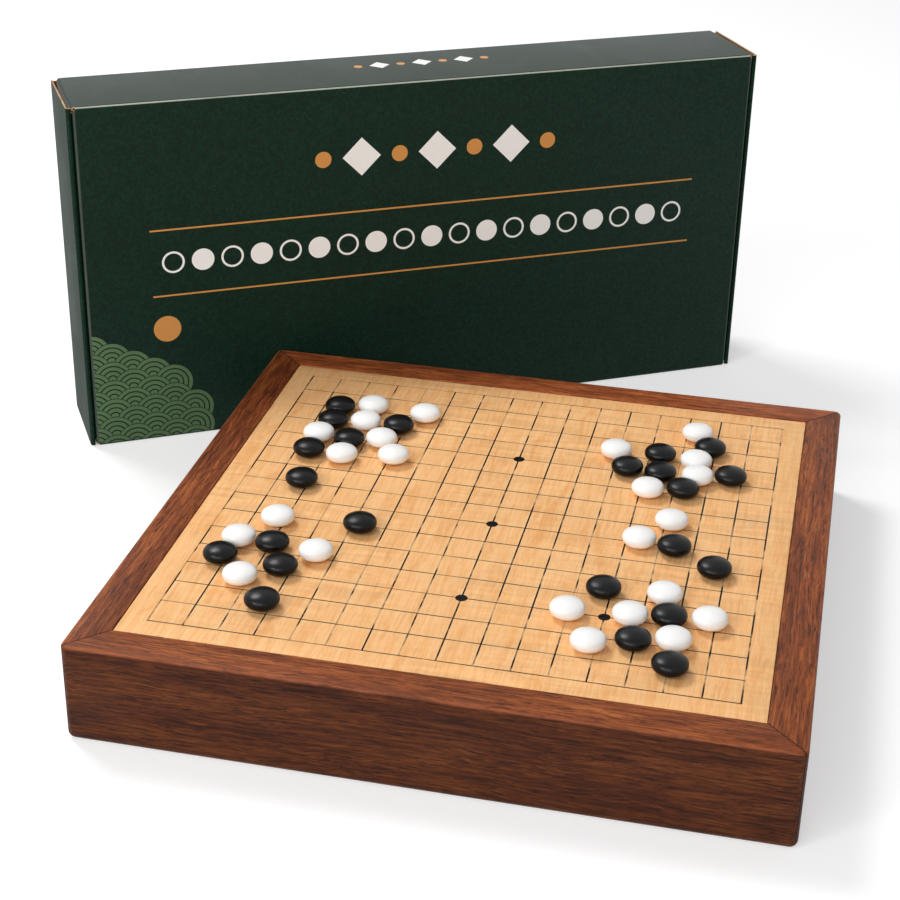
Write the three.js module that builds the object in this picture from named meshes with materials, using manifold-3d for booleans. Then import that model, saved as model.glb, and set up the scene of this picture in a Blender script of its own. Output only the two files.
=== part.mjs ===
// A weiqi game set: a framed wooden board with stones in play, and its folded carton standing behind it.
// Millimetres, +Z up. The carton's front looks along -Y and the board lies turned in front of it.
import * as THREE from 'three';
import { mergeVertices } from 'three/addons/utils/BufferGeometryUtils.js';
import Module from 'manifold-3d';

const wasm = await Module();
wasm.setup();

// Lines of the playing surface
const columnCount = 17;
const rowCount = 16;
const columnSpacing = 22;
const rowSpacing = 23.5;
const sideMargin = 16;
const endMargin = 15.75;

// Board frame
const railWidth = 24;
const boardHeight = 66;
const ledgeWidth = 10;
const topRound = 2;
const bottomRound = 5;
const cornerRound = 5;
const mitreGap = 0.3;

// Board panels
const panelDrop = 0.5;
const panelThickness = 12;
const baseThickness = 6;
const baseRecess = 3;
const panelClearance = 0.3;

// Stones
const stoneThickness = 11.4;
const stoneClearance = 0.35;

// Carton
const cartonWidth = 544;
const cartonDepth = 78;
const cartonHeight = 270;
const cardThickness = 1.2;
const foldRadius = 2.4;
const creaseGap = 0.3;
const endSpace = 3;
const edgeClearance = 0.8;

// Flaps at the carton's ends
const tuckDepth = 17;
const tuckClearance = 2.5;
const tuckInset = 5;
const tuckCornerRadius = 9;
const dustFlapDepth = 58;
const dustFlapTaper = 7;

// Where the board lies from the carton
const boardTurn = THREE.MathUtils.degToRad(-31);
const boardShift = -48.8;
const cornerGap = 5;

// How finely curves are cut up
const foldSteps = 4;
const cornerSteps = 5;
const arrisSteps = 3;
const stoneSides = 16;
const stoneBands = 6;

// Cuts run this far past what they cut
const overrun = 2;

// Places of the stones, in columns and rows counted from the front left crossing
const blackPlaceShares = [
  [1.65, 12.65], [1.7, 11.7], [3.85, 11.85], [2.55, 10.6], [1.5, 9.7], [1.85, 7.85],
  [0.9, 3.25], [2.15, 4.15], [2.75, 3.05], [2.8, 1.3], [4.3, 5.75],
  [12.35, 11.95], [11.45, 10.9], [12.5, 10.8], [13.85, 12.7], [13.3, 9.95], [14.65, 11.05],
  [13.45, 6.65], [14.7, 5.75], [11.8, 4.05], [13.75, 3.1], [12.95, 1.8], [14.05, 0.9],
];
const whitePlaceShares = [
  [2.7, 12.95], [2.75, 11.85], [4.5, 12.8], [1.5, 10.75], [3.55, 10.85], [2.6, 9.6], [4.2, 9.9],
  [1.85, 5.55], [1.1, 4.25], [3.5, 4.0], [1.8, 2.35],
  [10.95, 11.9], [13.35, 13.6], [13.5, 11.8], [13.65, 10.85], [12.25, 9.75],
  [13.2, 8.05], [12.4, 6.85], [11.0, 2.8], [12.7, 2.95], [13.5, 4.15], [14.85, 3.2],
  [11.8, 1.45], [14.0, 2.05],
];

// The closest neighbours stand this many columns or rows apart, which limits the stone's width
const neighbourColumnShare = 1.016;
const neighbourRowShare = 0.951;

// Sizes that follow from these
const playWidth = (columnCount - 1) * columnSpacing + 2 * sideMargin;
const playDepth = (rowCount - 1) * rowSpacing + 2 * endMargin;
const boardWidth = playWidth + 2 * railWidth;
const boardDepth = playDepth + 2 * railWidth;
const panelTop = boardHeight - panelDrop;
const neighbourDistance = Math.min(
  columnSpacing * neighbourColumnShare,
  rowSpacing * neighbourRowShare,
);
const stoneDiameter = neighbourDistance - stoneClearance;
const foldLine = cartonWidth / 2 - cardThickness - endSpace;

const walnut = new THREE.MeshStandardMaterial({ color: 0x5b3424, roughness: 0.45, metalness: 0 });
const maple = new THREE.MeshStandardMaterial({ color: 0xdba765, roughness: 0.5, metalness: 0 });
const plywood = new THREE.MeshStandardMaterial({ color: 0xb98d5a, roughness: 0.8, metalness: 0 });
const slate = new THREE.MeshStandardMaterial({ color: 0x17181a, roughness: 0.3, metalness: 0 });
const shell = new THREE.MeshStandardMaterial({ color: 0xf4f2ee, roughness: 0.25, metalness: 0 });
const greenCard = new THREE.MeshStandardMaterial({ color: 0x1d2f27, roughness: 0.7, metalness: 0 });

function toSolid(geometry) {
  geometry.deleteAttribute('normal');
  geometry.deleteAttribute('uv');
  const merged = mergeVertices(geometry);
  return new wasm.Manifold(new wasm.Mesh({
    numProp: 3,
    vertProperties: merged.attributes.position.array,
    triVerts: new Uint32Array(merged.index.array),
  }));
}

function toGeometry(solid) {
  const mesh = solid.getMesh();
  const geometry = new THREE.BufferGeometry();
  geometry.setAttribute('position', new THREE.BufferAttribute(mesh.vertProperties, 3));
  geometry.setIndex(new THREE.BufferAttribute(mesh.triVerts, 1));
  geometry.computeVertexNormals();
  return geometry;
}

function extrude(shape, length, curveSegments = 1) {
  return new THREE.ExtrudeGeometry(shape, { depth: length, bevelEnabled: false, curveSegments });
}

// Turns an extrusion so that its outline lies in YZ and it runs along X, centred
function alongX(geometry, length) {
  const turn = new THREE.Matrix4().makeBasis(
    new THREE.Vector3(0, 1, 0),
    new THREE.Vector3(0, 0, 1),
    new THREE.Vector3(1, 0, 0),
  );
  return geometry.translate(0, 0, -length / 2).applyMatrix4(turn);
}

// Turns an extrusion so that its outline lies in XZ and it runs along Y, centred
function alongY(geometry, length) {
  return geometry.translate(0, 0, -length / 2).rotateX(Math.PI / 2);
}

function roundedRectangle(width, depth, radius, Outline = THREE.Shape) {
  const outline = new Outline();
  const x = width / 2 - radius;
  const y = depth / 2 - radius;
  outline.absarc(x, y, radius, 0, Math.PI / 2);
  outline.absarc(-x, y, radius, Math.PI / 2, Math.PI);
  outline.absarc(-x, -y, radius, Math.PI, 1.5 * Math.PI);
  outline.absarc(x, -y, radius, 1.5 * Math.PI, 2 * Math.PI);
  return outline;
}

// A part has its own origin; here it takes its name and place
function place(geometry, material, name, x, y, z, turn = 0) {
  const mesh = new THREE.Mesh(geometry, material);
  mesh.name = name;
  mesh.position.set(x, y, z);
  mesh.rotation.z = turn;
  return mesh;
}

// Section of a rail, from its outer face inwards: a ledge for the panel above, a seat for the base below
function railSection() {
  const bodyWidth = railWidth + ledgeWidth;
  const panelLedge = panelTop - panelThickness - panelClearance;
  const baseSeat = baseRecess + baseThickness + panelClearance;
  const section = new THREE.Shape();
  section.absarc(bottomRound, bottomRound, bottomRound, 1.5 * Math.PI, Math.PI, true);
  section.absarc(topRound, boardHeight - topRound, topRound, Math.PI, Math.PI / 2, true);
  section.lineTo(railWidth, boardHeight);
  section.lineTo(railWidth, panelLedge);
  section.lineTo(bodyWidth, panelLedge);
  section.lineTo(bodyWidth, baseSeat);
  section.lineTo(railWidth, baseSeat);
  section.lineTo(railWidth, 0);
  return section;
}

// A rail whose outer face lies on y = 0, cut to mitres at both ends
function railGeometry(length, acrossBoard) {
  const bar = toSolid(alongX(extrude(railSection(), length, arrisSteps), length));
  const halfLength = length / 2 - mitreGap / Math.SQRT2;
  const innerEdge = railWidth + ledgeWidth + overrun;
  const wedge = new THREE.Shape([
    new THREE.Vector2(-halfLength - overrun, -overrun),
    new THREE.Vector2(halfLength + overrun, -overrun),
    new THREE.Vector2(halfLength - innerEdge, innerEdge),
    new THREE.Vector2(-halfLength + innerEdge, innerEdge),
  ]);
  const mitre = toSolid(extrude(wedge, boardHeight + 2 * overrun).translate(0, 0, -overrun));
  const footprint = roundedRectangle(length, acrossBoard, cornerRound);
  const corners = toSolid(
    extrude(footprint, boardHeight + 2 * overrun, cornerSteps).translate(0, acrossBoard / 2, -overrun),
  );
  return toGeometry(bar.intersect(mitre).intersect(corners));
}

// The playing panel and the base panel both drop in between the rails
function panelGeometry(thickness) {
  return new THREE.BoxGeometry(
    playWidth - 2 * panelClearance,
    playDepth - 2 * panelClearance,
    thickness,
  );
}

// Where a place counted in columns and rows lies from the board's middle
function fromMiddle([column, row]) {
  return [
    (column - (columnCount - 1) / 2) * columnSpacing,
    (row - (rowCount - 1) / 2) * rowSpacing,
  ];
}

// A stone is as thick at its middle as it should be and round at its rim, like a flattened ball
function stoneGeometry() {
  const profile = [];
  for (let band = 0; band <= stoneBands; band += 1) {
    const angle = Math.PI * (band / stoneBands - 0.5);
    const radius = Math.max(0, (stoneDiameter / 2) * Math.cos(angle));
    profile.push(new THREE.Vector2(radius, (stoneThickness / 2) * Math.sin(angle)));
  }
  profile[0].x = 0;
  profile[stoneBands].x = 0;
  return new THREE.LatheGeometry(profile, stoneSides).rotateX(Math.PI / 2);
}

function makeBoard() {
  const group = new THREE.Group();
  const frontY = -boardDepth / 2;
  const sideX = boardWidth / 2;
  const longRail = railGeometry(boardWidth, boardDepth);
  const sideRail = railGeometry(boardDepth, boardWidth);
  const playingPanel = panelGeometry(panelThickness);
  const basePanel = panelGeometry(baseThickness);
  group.add(
    place(longRail, walnut, 'rail_front', 0, frontY, 0),
    place(longRail, walnut, 'rail_back', 0, -frontY, 0, Math.PI),
    place(sideRail, walnut, 'rail_right', sideX, 0, 0, Math.PI / 2),
    place(sideRail, walnut, 'rail_left', -sideX, 0, 0, -Math.PI / 2),
    place(playingPanel, maple, 'playing_panel', 0, 0, panelTop - panelThickness / 2),
    place(basePanel, plywood, 'base_panel', 0, 0, baseRecess + baseThickness / 2),
  );
  return group;
}

// Stones stand a hair above the panel, on the lines or casually beside them
function makeStones(colour, material, placeShares) {
  const group = new THREE.Group();
  const z = panelTop + panelClearance + stoneThickness / 2;
  placeShares.forEach((share, index) => {
    const [x, y] = fromMiddle(share);
    const name = `stone_${colour}_${String(index + 1).padStart(2, '0')}`;
    group.add(place(stoneGeometry(), material, name, x, y, z));
  });
  return group;
}

// Outline of a rounded quarter fold: a short lead in the panel's plane, then the bend.
// The fold's outer face meets 0 along both directions.
function foldOutline(lead, outwards, upwards, endTail = 0) {
  const points = [new THREE.Vector2(-foldRadius - lead, 0)];
  for (let step = 0; step <= foldSteps; step += 1) {
    const angle = (Math.PI / 2) * (1 - step / foldSteps);
    points.push(new THREE.Vector2(
      foldRadius * (Math.cos(angle) - 1),
      foldRadius * (Math.sin(angle) - 1),
    ));
  }
  if (endTail > 0) {
    points.push(new THREE.Vector2(0, -foldRadius - endTail));
    points.push(new THREE.Vector2(-cardThickness, -foldRadius - endTail));
  }
  const innerRadius = foldRadius - cardThickness;
  for (let step = foldSteps; step >= 0; step -= 1) {
    const angle = (Math.PI / 2) * (1 - step / foldSteps);
    points.push(new THREE.Vector2(
      innerRadius * Math.cos(angle) - foldRadius,
      innerRadius * Math.sin(angle) - foldRadius,
    ));
  }
  points.push(new THREE.Vector2(-foldRadius - lead, -cardThickness));
  return points.map((point) => new THREE.Vector2(point.x * outwards, point.y * upwards));
}

// The folded sleeve: front, top, back and bottom panels in one piece, with the folds that lead to its flaps.
// The carton's own origin is its middle.
function sleeveGeometry() {
  const tubeLength = 2 * (foldLine - foldRadius);
  const ring = roundedRectangle(cartonDepth, cartonHeight, foldRadius);
  ring.holes.push(roundedRectangle(
    cartonDepth - 2 * cardThickness,
    cartonHeight - 2 * cardThickness,
    foldRadius - cardThickness,
    THREE.Path,
  ));
  let sleeve = toSolid(alongX(extrude(ring, tubeLength, foldSteps), tubeLength));
  const foldLength = cartonDepth - 2 * foldRadius;
  const panelHeight = cartonHeight - 2 * foldRadius;
  const frontReach = foldLine - creaseGap;
  const backLead = endSpace + cardThickness + overrun;
  for (const side of [-1, 1]) {
    for (const edge of [-1, 1]) {
      const fold = new THREE.Shape(foldOutline(overrun, side, edge));
      sleeve = sleeve.add(toSolid(
        alongY(extrude(fold, foldLength), foldLength)
          .translate(side * foldLine, 0, (edge * cartonHeight) / 2),
      ));
    }
    const frontEnd = new THREE.BoxGeometry(foldRadius + overrun, cardThickness, panelHeight);
    sleeve = sleeve.add(toSolid(frontEnd.translate(
      side * (frontReach - (foldRadius + overrun) / 2),
      (cardThickness - cartonDepth) / 2,
      0,
    )));
    const backFold = new THREE.Shape(foldOutline(backLead, side, 1));
    sleeve = sleeve.add(toSolid(
      extrude(backFold, panelHeight)
        .translate((side * cartonWidth) / 2, cartonDepth / 2, -panelHeight / 2),
    ));
  }
  return toGeometry(sleeve);
}

// The panel that closes an end, with the tuck flap folded in behind the front panel.
// Its own origin is the crease at the back edge of the end.
function closureGeometry(side) {
  const creaseY = cartonDepth / 2 - foldRadius - creaseGap;
  const tuckY = cardThickness + tuckClearance - cartonDepth / 2;
  const plateLength = creaseY - tuckY - foldRadius;
  const height = cartonHeight - 2 * edgeClearance;
  const bendLead = endSpace + cardThickness - foldRadius - edgeClearance;
  const bend = new THREE.Shape(foldOutline(bendLead, side, -1, plateLength));
  const plate = toSolid(extrude(bend, height).translate(0, tuckY - creaseY, -height / 2));

  const tuckHalf = cartonHeight / 2 - tuckInset;
  const root = -foldRadius;
  const tip = -tuckDepth;
  const tuck = new THREE.Shape([
    new THREE.Vector2(side * root, -tuckHalf),
    new THREE.Vector2(side * (tip + tuckCornerRadius), -tuckHalf),
    ...tuckCorner(side, tip, tuckHalf, -1),
    ...tuckCorner(side, tip, tuckHalf, 1),
    new THREE.Vector2(side * (tip + tuckCornerRadius), tuckHalf),
    new THREE.Vector2(side * root, tuckHalf),
  ]);
  const flap = alongY(extrude(tuck, cardThickness), cardThickness);
  return toGeometry(plate.add(toSolid(flap.translate(0, tuckY + cardThickness / 2 - creaseY, 0))));
}

// One rounded free corner of a tuck flap, walked from its lower point to its upper point
function tuckCorner(side, tip, tuckHalf, edge) {
  const points = [];
  for (let step = 1; step < 2 * foldSteps; step += 1) {
    const part = step / (2 * foldSteps);
    const angle = (Math.PI / 2) * (edge < 0 ? 1 - part : part);
    points.push(new THREE.Vector2(
      side * (tip + tuckCornerRadius * (1 - Math.cos(angle))),
      edge * (tuckHalf - tuckCornerRadius * (1 - Math.sin(angle))),
    ));
  }
  return points;
}

// A dust flap hangs from its crease, a little narrower at its free edge.
// Its own origin is the crease, on the flap's inner face.
function dustFlapGeometry(side, edge) {
  const frontY = -cartonDepth / 2 + 2 * cardThickness + tuckClearance + edgeClearance;
  const backY = cartonDepth / 2 - cardThickness - edgeClearance;
  const outline = new THREE.Shape([
    new THREE.Vector2(frontY, 0),
    new THREE.Vector2(backY, 0),
    new THREE.Vector2(backY - dustFlapTaper, -edge * dustFlapDepth),
    new THREE.Vector2(frontY + dustFlapTaper, -edge * dustFlapDepth),
  ]);
  const flap = alongX(extrude(outline, cardThickness), cardThickness);
  return flap.translate((side * cardThickness) / 2, 0, 0);
}

function makeCarton() {
  const group = new THREE.Group();
  group.position.z = cartonHeight / 2;
  group.add(place(sleeveGeometry(), greenCard, 'carton_sleeve', 0, 0, 0));
  const creaseY = cartonDepth / 2 - foldRadius - creaseGap;
  const dustCreaseZ = cartonHeight / 2 - foldRadius - creaseGap;
  for (const [side, sideName] of [[-1, 'left'], [1, 'right']]) {
    const closureName = `carton_closure_${sideName}`;
    const closureX = (side * cartonWidth) / 2;
    group.add(place(closureGeometry(side), greenCard, closureName, closureX, creaseY, 0));
    for (const [edge, edgeName] of [[1, 'top'], [-1, 'bottom']]) {
      const dustX = side * (foldLine - cardThickness);
      const dustName = `carton_dust_flap_${edgeName}_${sideName}`;
      const dustFlap = dustFlapGeometry(side, edge);
      group.add(place(dustFlap, greenCard, dustName, dustX, 0, edge * dustCreaseZ));
    }
  }
  return group;
}

// How far the turned board reaches back from its middle, to its far corner
function boardReachBack() {
  const halfWidth = boardWidth / 2 - cornerRound;
  const halfDepth = boardDepth / 2 - cornerRound;
  return halfWidth * Math.abs(Math.sin(boardTurn)) + halfDepth * Math.cos(boardTurn) + cornerRound;
}

function makeSet() {
  const board = new THREE.Group();
  board.add(
    makeBoard(),
    makeStones('black', slate, blackPlaceShares),
    makeStones('white', shell, whitePlaceShares),
  );
  board.position.set(boardShift, -cartonDepth / 2 - cornerGap - boardReachBack(), 0);
  board.rotation.z = boardTurn;

  const set = new THREE.Group();
  set.add(board, makeCarton());
  return set;
}

// The set stands with the middle of its outer box over the origin
function centred(set) {
  set.updateMatrixWorld(true);
  const middle = new THREE.Box3().setFromObject(set, true).getCenter(new THREE.Vector3());
  const group = new THREE.Group();
  set.position.set(-middle.x, -middle.y, 0);
  group.add(set);
  group.updateMatrixWorld(true);
  return group;
}

export default centred(makeSet());
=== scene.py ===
import math
import random

import bmesh
import bpy
from mathutils import Matrix, Vector


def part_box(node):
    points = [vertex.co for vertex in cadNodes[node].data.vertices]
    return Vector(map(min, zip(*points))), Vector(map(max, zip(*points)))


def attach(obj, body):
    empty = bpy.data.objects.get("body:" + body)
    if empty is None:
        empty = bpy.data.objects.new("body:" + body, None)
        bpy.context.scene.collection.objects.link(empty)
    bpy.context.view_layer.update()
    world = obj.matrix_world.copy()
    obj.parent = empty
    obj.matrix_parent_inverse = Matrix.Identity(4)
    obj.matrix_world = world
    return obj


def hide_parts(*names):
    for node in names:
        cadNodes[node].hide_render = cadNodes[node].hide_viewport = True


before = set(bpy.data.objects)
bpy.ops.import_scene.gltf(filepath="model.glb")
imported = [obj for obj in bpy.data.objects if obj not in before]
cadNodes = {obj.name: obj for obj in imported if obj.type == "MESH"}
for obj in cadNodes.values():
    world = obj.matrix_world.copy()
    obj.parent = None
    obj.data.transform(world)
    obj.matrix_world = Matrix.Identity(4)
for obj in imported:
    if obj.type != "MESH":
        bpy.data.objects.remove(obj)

mm = 0.001
quarterTurn = math.pi / 2
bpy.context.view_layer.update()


# helpers for modelling: sizes and places come in millimetres, and the mesh is in metres

def deselectAll():
    if bpy.context.object and bpy.context.object.mode != "OBJECT":
        bpy.ops.object.mode_set(mode="OBJECT")
    bpy.ops.object.select_all(action="DESELECT")


def makeActive(obj):
    deselectAll()
    obj.select_set(True)
    bpy.context.view_layer.objects.active = obj


def edit(obj):
    makeActive(obj)
    bpy.ops.object.mode_set(mode="EDIT")


def leave():
    bpy.ops.object.mode_set(mode="OBJECT")


def pick(obj, kind, test):
    bpy.ops.mesh.select_mode(type=kind)
    bpy.ops.mesh.select_all(action="DESELECT")
    mesh = bmesh.from_edit_mesh(obj.data)
    items = {"VERT": mesh.verts, "EDGE": mesh.edges, "FACE": mesh.faces}[kind]
    for item in [item for item in items if test(item)]:
        item.select_set(True)
    mesh.select_flush_mode()
    bmesh.update_edit_mesh(obj.data)


def isNear(value, place):
    return abs(value - place) < 1e-5


def spanOf(edge, axis):
    return abs(edge.verts[0].co[axis] - edge.verts[1].co[axis])


def bevel(width, segments, affect="EDGES"):
    bpy.ops.mesh.bevel(offset=width * mm, segments=segments, affect=affect, profile=0.5, clamp_overlap=True)


def extrude(x, y, z):
    bpy.ops.mesh.extrude_region_move(TRANSFORM_OT_translate={"value": (x * mm, y * mm, z * mm)})


def cutAway(point, normal):
    bpy.ops.mesh.select_all(action="SELECT")
    bpy.ops.mesh.bisect(plane_co=Vector(point) * mm, plane_no=normal, use_fill=True, clear_outer=True)


def scoreLine(point, normal):
    bpy.ops.mesh.bisect(plane_co=Vector(point) * mm, plane_no=normal)


def spinEdge(angle, centre, axis, steps):
    # the operator turns the other way round the axis
    bpy.ops.mesh.spin(steps=steps, angle=-angle, center=Vector(centre) * mm, axis=axis)


def mergeDoubles():
    bpy.ops.mesh.select_all(action="SELECT")
    bpy.ops.mesh.remove_doubles(threshold=1e-6)
    bpy.ops.mesh.normals_make_consistent(inside=False)


def giveMaterial(obj, index, test):
    pick(obj, "FACE", test)
    obj.active_material_index = index
    bpy.ops.object.material_slot_assign()


def apply(obj):
    makeActive(obj)
    bpy.ops.object.transform_apply(location=True, rotation=True, scale=True)


def smooth(obj, angle=35):
    makeActive(obj)
    bpy.ops.object.shade_smooth_by_angle(angle=math.radians(angle))


def newCube(name, size, place):
    bpy.ops.object.select_all(action="DESELECT")
    bpy.ops.mesh.primitive_cube_add(size=1, location=Vector(place) * mm)
    obj = bpy.context.object
    obj.name = obj.data.name = name
    obj.scale = Vector(size) * mm
    apply(obj)
    return obj


def copyOf(obj, name):
    copy = obj.copy()
    copy.data = obj.data.copy()
    copy.name = copy.data.name = name
    bpy.context.scene.collection.objects.link(copy)
    return copy


# helpers for materials: each adds a node and gives its output back

def colour(text):
    values = [int(text[i:i + 2], 16) / 255 for i in (1, 3, 5)]
    return [v / 12.92 if v <= 0.04045 else ((v + 0.055) / 1.055) ** 2.4 for v in values] + [1]


def node(tree, kind, values=None, **settings):
    made = tree.nodes.new("ShaderNode" + kind)
    for name, value in settings.items():
        setattr(made, name, value)
    for key, value in (values or {}).items():
        if isinstance(value, bpy.types.NodeSocket):
            tree.links.new(value, made.inputs[key])
        else:
            made.inputs[key].default_value = value
    return made


def calc(tree, operation, a, b=None):
    values = {0: a} if b is None else {0: a, 1: b}
    return node(tree, "Math", values, operation=operation).outputs[0]


def add(tree, a, b):
    return calc(tree, "ADD", a, b)


def subtract(tree, a, b):
    return calc(tree, "SUBTRACT", a, b)


def multiply(tree, a, b):
    return calc(tree, "MULTIPLY", a, b)


def maximum(tree, a, b):
    return calc(tree, "MAXIMUM", a, b)


def absolute(tree, a):
    return calc(tree, "ABSOLUTE", a)


def remap(tree, value, low, high, newLow=0.0, newHigh=1.0):
    values = {"Value": value, "From Min": low, "From Max": high, "To Min": newLow, "To Max": newHigh}
    return node(tree, "MapRange", values, interpolation_type="SMOOTHSTEP").outputs[0]


def mix(tree, factor, a, b, mode="MIX"):
    return node(tree, "Mix", {0: factor, 6: a, 7: b}, data_type="RGBA", blend_type=mode).outputs[2]


def choose(tree, factor, a, b):
    return node(tree, "Mix", {0: factor, 2: a, 3: b}).outputs[0]


def dim(tree, base, factor):
    return mix(tree, 1.0, base, join(tree, factor, factor, factor), "MULTIPLY")


def ramp(tree, value, stops):
    made = node(tree, "ValToRGB", {"Fac": value})
    points = made.color_ramp.elements
    while len(points) < len(stops):
        points.new(0.5)
    for point, (position, shade) in zip(points, stops):
        point.position = position
        point.color = colour(shade)
    return made.outputs[0]


def scaled(tree, vector, scale, location=(0, 0, 0)):
    return node(tree, "Mapping", {"Vector": vector, "Scale": scale, "Location": location}).outputs[0]


def moved(tree, vector, shift):
    return node(tree, "VectorMath", {0: vector, 1: shift}).outputs[0]


def turned(tree, vector, angle):
    values = {"Vector": vector, "Axis": (0, 0, 1), "Angle": angle}
    return node(tree, "VectorRotate", values, rotation_type="AXIS_ANGLE").outputs[0]


def lengthOf(tree, vector):
    return node(tree, "VectorMath", {0: vector}, operation="LENGTH").outputs["Value"]


def noise(tree, vector, scale, detail=3.0, roughness=0.5, distortion=0.0):
    values = {"Vector": vector, "Scale": scale, "Detail": detail, "Roughness": roughness, "Distortion": distortion}
    return node(tree, "TexNoise", values).outputs["Fac"]


def split(tree, vector):
    return node(tree, "SeparateXYZ", {0: vector}).outputs


def join(tree, x, y, z=0.0):
    return node(tree, "CombineXYZ", {0: x, 1: y, 2: z}).outputs[0]


def startGroup(name, inputs, outputs):
    tree = bpy.data.node_groups.new(name, "ShaderNodeTree")
    for socketName, kind, value in inputs:
        socket = tree.interface.new_socket(name=socketName, in_out="INPUT", socket_type="NodeSocket" + kind)
        if value is not None:
            socket.default_value = value
    for socketName in outputs:
        tree.interface.new_socket(name=socketName, in_out="OUTPUT", socket_type="NodeSocketFloat")
    given = tree.nodes.new("NodeGroupInput").outputs
    results = tree.nodes.new("NodeGroupOutput").inputs
    return tree, given, results


def useGroup(tree, group, values):
    return node(tree, "Group", values, node_tree=group).outputs


def startMaterial(name, **constants):
    material = bpy.data.materials.new(name)
    material.use_nodes = True
    tree = material.node_tree
    shader = tree.nodes["Principled BSDF"]
    for key, value in constants.items():
        shader.inputs[key.replace("_", " ")].default_value = value
    where = node(tree, "TexCoord").outputs["Object"]
    return material, tree, shader, where


def finishMaterial(tree, shader, base, rough, height, strength, distance):
    tree.links.new(base, shader.inputs["Base Color"])
    tree.links.new(rough, shader.inputs["Roughness"])
    bump = node(tree, "Bump", {"Height": height, "Strength": strength, "Distance": distance * mm})
    tree.links.new(bump.outputs[0], shader.inputs["Normal"])


# camera
cameraValues = {
    "place": (-394.96, -1060.56, 678.2), "azimuth": -18.91, "elevation": 27.44, "roll": 1.17,
    "lens": 75.76, "sensor": 36, "nearest": 20, "farthest": 60000,
}


def makeCamera(values):
    data = bpy.data.cameras.new("camera")
    data.lens = values["lens"]
    data.sensor_width = values["sensor"]
    data.clip_start = values["nearest"] * mm
    data.clip_end = values["farthest"] * mm
    obj = bpy.data.objects.new("camera", data)
    bpy.context.scene.collection.objects.link(obj)
    azimuth, elevation, roll = (math.radians(values[k]) for k in ("azimuth", "elevation", "roll"))
    back = Vector((
        math.sin(azimuth) * math.cos(elevation),
        -math.cos(azimuth) * math.cos(elevation),
        math.sin(elevation),
    ))
    right = Vector((math.cos(azimuth), math.sin(azimuth), 0))
    up = back.cross(right)
    x = right * math.cos(roll) + up * math.sin(roll)
    y = up * math.cos(roll) - right * math.sin(roll)
    matrix = Matrix((x, y, back)).transposed().to_4x4()
    matrix.translation = Vector(values["place"]) * mm
    obj.matrix_world = matrix
    bpy.context.scene.camera = obj


# floor and lights, with distances and sizes in metres and power in watts
lightValues = {
    "world": 0.3, "floor": 0.8, "floorSeen": 0.72, "floorLift": 0.44, "farLift": 0.79,
    "nearFloor": 1.6, "farFloor": 3.6, "floorSize": 16,
}
lampTarget = (0, 0, 60)
lampValues = {
    "backLeft": {"direction": (-0.24, 0.52, 0.82), "distance": 2.8, "size": (0.95, 0.85), "power": 40},
    "frontLeft": {"direction": (-0.763, -0.296, 0.577), "distance": 2.4, "size": (0.45, 0.45), "power": 10},
    "frontFill": {"direction": (-0.55, -0.64, 0.54), "distance": 3.2, "size": (2.6, 1.8), "power": 43},
}


def seesBackground(tree):
    path = node(tree, "LightPath").outputs
    seen = maximum(tree, path["Is Camera Ray"], path["Is Glossy Ray"])
    return maximum(tree, seen, path["Is Transmission Ray"])


def makeFloor(values):
    bpy.ops.object.select_all(action="DESELECT")
    bpy.ops.mesh.primitive_plane_add(size=values["floorSize"], location=(0, 0, 0))
    floor = bpy.context.object
    floor.name = "floor"
    material = bpy.data.materials.new("floor")
    material.use_nodes = True
    tree = material.node_tree
    tree.nodes.clear()
    seen = seesBackground(tree)
    shade = node(tree, "MapRange", {"Value": seen, "To Min": values["floor"], "To Max": values["floorSeen"]}).outputs[0]
    matt = node(tree, "BsdfDiffuse", {"Color": join(tree, shade, shade, shade)}).outputs[0]
    # away from the lamps the floor fades into the white background
    away = lengthOf(tree, node(tree, "TexCoord").outputs["Object"])
    lift = remap(tree, away, values["nearFloor"], values["farFloor"], values["floorLift"], values["farLift"])
    lift = multiply(tree, seen, lift)
    glow = node(tree, "Emission", {"Strength": lift}).outputs[0]
    both = node(tree, "AddShader", {0: matt, 1: glow}).outputs[0]
    node(tree, "OutputMaterial", {"Surface": both})
    floor.data.materials.append(material)


def makeWorld(values):
    world = bpy.data.worlds.new("studio")
    bpy.context.scene.world = world
    world.use_nodes = True
    tree = world.node_tree
    background = tree.nodes["Background"]
    background.inputs["Color"].default_value = (1, 1, 1, 1)
    strength = node(tree, "MapRange", {"Value": seesBackground(tree), "To Min": values["world"], "To Max": 1.0})
    tree.links.new(strength.outputs[0], background.inputs["Strength"])


def makeLamp(name, values):
    data = bpy.data.lights.new(name, "AREA")
    data.shape = "RECTANGLE"
    data.size, data.size_y = values["size"]
    data.energy = values["power"]
    obj = bpy.data.objects.new(name, data)
    bpy.context.scene.collection.objects.link(obj)
    towards = Vector(values["direction"]).normalized()
    obj.location = Vector(lampTarget) * mm + towards * values["distance"]
    obj.rotation_euler = towards.to_track_quat("Z", "Y").to_euler()


bpy.context.scene.view_settings.view_transform = "Standard"
makeCamera(cameraValues)
makeFloor(lightValues)
makeWorld(lightValues)
for lampName, values in lampValues.items():
    makeLamp(lampName, values)
print("camera, floor and lights are in place")


# node groups that several materials share

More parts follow.
